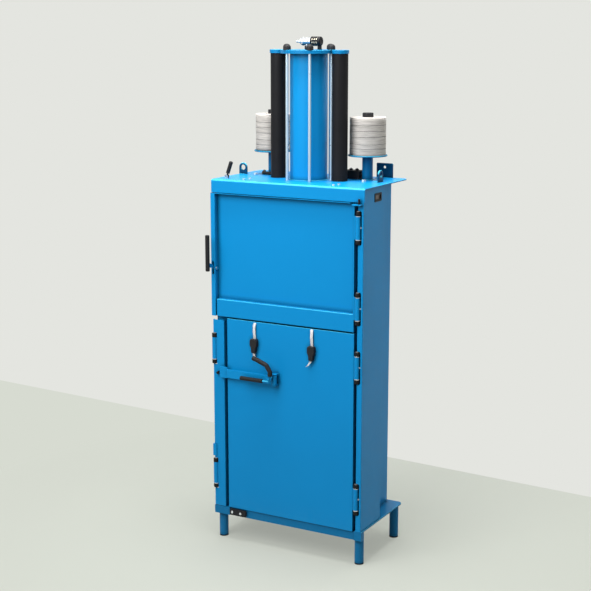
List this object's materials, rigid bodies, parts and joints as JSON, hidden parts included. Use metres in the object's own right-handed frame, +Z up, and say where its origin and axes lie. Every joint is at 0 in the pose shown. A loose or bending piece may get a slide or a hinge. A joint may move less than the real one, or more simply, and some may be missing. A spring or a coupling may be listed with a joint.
{
  "type": "recycling baler",
  "caption": "Upright air-powered baler with a filling door over a bale door, a top cylinder between two guide columns, strap reels and short legs.",
  "frame": {"origin": "on the floor, under the middle of the machine", "axes": "+Z up, +Y to the back, away from the doors, +X to the right of someone facing the doors"},
  "size_m": [0.745, 0.49, 2.24],
  "materials": {
    "blue_paint": "smooth satin powder coat",
    "dark_paint": "dark satin paint",
    "black_steel": "black satin",
    "bright_steel": "bright turned steel",
    "bronze": "dull bronze",
    "bush_bronze": "machined bronze",
    "black_plastic": "fine matt",
    "black_grip": "matt sleeve",
    "rubber": "matt",
    "chrome": "polished",
    "pane": "tinted brown pane",
    "strap_white": "woven polyester strap"
  },
  "bodies": {
    "cabinet": {"air_valves": "black_plastic", "base_plate": "blue_paint", "bright_bolts": "bright_steel", "chamber_floor": "blue_paint", "chamber_rear_wall": "blue_paint", "chamber_sides": "blue_paint", "column_covers": "black_plastic", "control_bracket": "bright_steel", "cylinder_tube": "blue_paint", "door_pad": "black_plastic", "fitting_body": "chrome", "foot_caps": "rubber", "front_sill": "blue_paint", "head_plate": "blue_paint", "hinge_lugs": "black_steel", "hinge_pins": "bright_steel", "hinge_washers": "bronze", "left_cheek": "blue_paint", "legs": "blue_paint", "lifting_eyes": "dark_paint", "press_bushes": "bush_bronze", "reel_stands": "blue_paint", "right_cheek": "blue_paint", "rod_caps": "black_plastic", "silencer": "black_plastic", "stop_bracket": "blue_paint", "stop_pin": "black_steel", "tie_rods": "bright_steel", "top_plate": "blue_paint", "wall_brackets": "dark_paint", "window_frame": "black_plastic", "window_pane": "pane"},
    "filling_door": {"filling_door_panel": "blue_paint", "filling_door_rims": "blue_paint", "filling_door_flange": "blue_paint", "filling_door_band": "blue_paint", "filling_door_barrels": "blue_paint", "handle_bolt": "bright_steel"},
    "door_handle": {"handle_arm": "blue_paint", "handle_grip": "black_grip"},
    "bale_door": {"bale_door_skin": "blue_paint", "bale_door_frame": "blue_paint", "bale_door_inner_sheet": "blue_paint", "bale_door_barrels": "blue_paint", "lock_bracket": "blue_paint", "straps": "strap_white", "strap_holders": "black_plastic"},
    "lock_bar": {"lock_bar": "blue_paint"},
    "hand_lever": {"lever_rod": "blue_paint", "lever_sleeves": "black_grip"},
    "locking_post": {"locking_post": "blue_paint", "post_barrels": "blue_paint", "post_stud": "black_steel"},
    "press": {"press_plate": "blue_paint", "press_rods": "bright_steel"},
    "reel_left": {"reel_hub_left": "black_plastic", "strap_roll_left": "strap_white"},
    "reel_right": {"reel_hub_right": "black_plastic", "strap_roll_right": "strap_white"},
    "control_lever": {"control_lever": "black_plastic"}
  },
  "joints": [
    {"name": "filling_door", "type": "hinge", "parent": "cabinet", "child": "filling_door", "pos_m": [0.341, -0.172, 1.3], "axis": [0, 0, 1], "range_deg": [0, 110]},
    {"name": "filling_door_handle", "type": "hinge", "parent": "filling_door", "child": "door_handle", "pos_m": [-0.3645, -0.166, 1.243], "axis": [1, 0, 0], "range_deg": [0, 45]},
    {"name": "bale_door", "type": "hinge", "parent": "cabinet", "child": "bale_door", "pos_m": [0.341, -0.172, 0.59], "axis": [0, 0, 1], "range_deg": [0, 110]},
    {"name": "lock_bar", "type": "hinge", "parent": "bale_door", "child": "lock_bar", "pos_m": [-0.044, -0.2, 0.785], "axis": [0, 0, 1], "range_deg": [0, 90]},
    {"name": "hand_lever", "type": "hinge", "parent": "lock_bar", "child": "hand_lever", "pos_m": [-0.05, -0.231, 0.796], "axis": [0, 1, 0], "range_deg": [-60, 0]},
    {"name": "locking_post", "type": "hinge", "parent": "cabinet", "child": "locking_post", "pos_m": [-0.363, -0.172, 0.59], "axis": [0, 0, -1], "range_deg": [0, 90]},
    {"name": "press", "type": "slide", "parent": "cabinet", "child": "press", "axis": [0, 0, -1], "range_m": [0, 0.455]},
    {"name": "strap_reel_left", "type": "hinge", "parent": "cabinet", "child": "reel_left", "pos_m": [-0.233, 0.129, 1.82], "axis": [0, 0, 1], "continuous": true},
    {"name": "strap_reel_right", "type": "hinge", "parent": "cabinet", "child": "reel_right", "pos_m": [0.233, 0.129, 1.82], "axis": [0, 0, 1], "continuous": true},
    {"name": "control_lever", "type": "hinge", "parent": "cabinet", "child": "control_lever", "pos_m": [-0.326, -0.116, 1.644], "axis": [0, 1, 0], "range_deg": [-40, 0]}
  ],
  "couplings": [
    {"joint": "locking_post", "follows": "lock_bar", "ratio": 1}
  ]
}
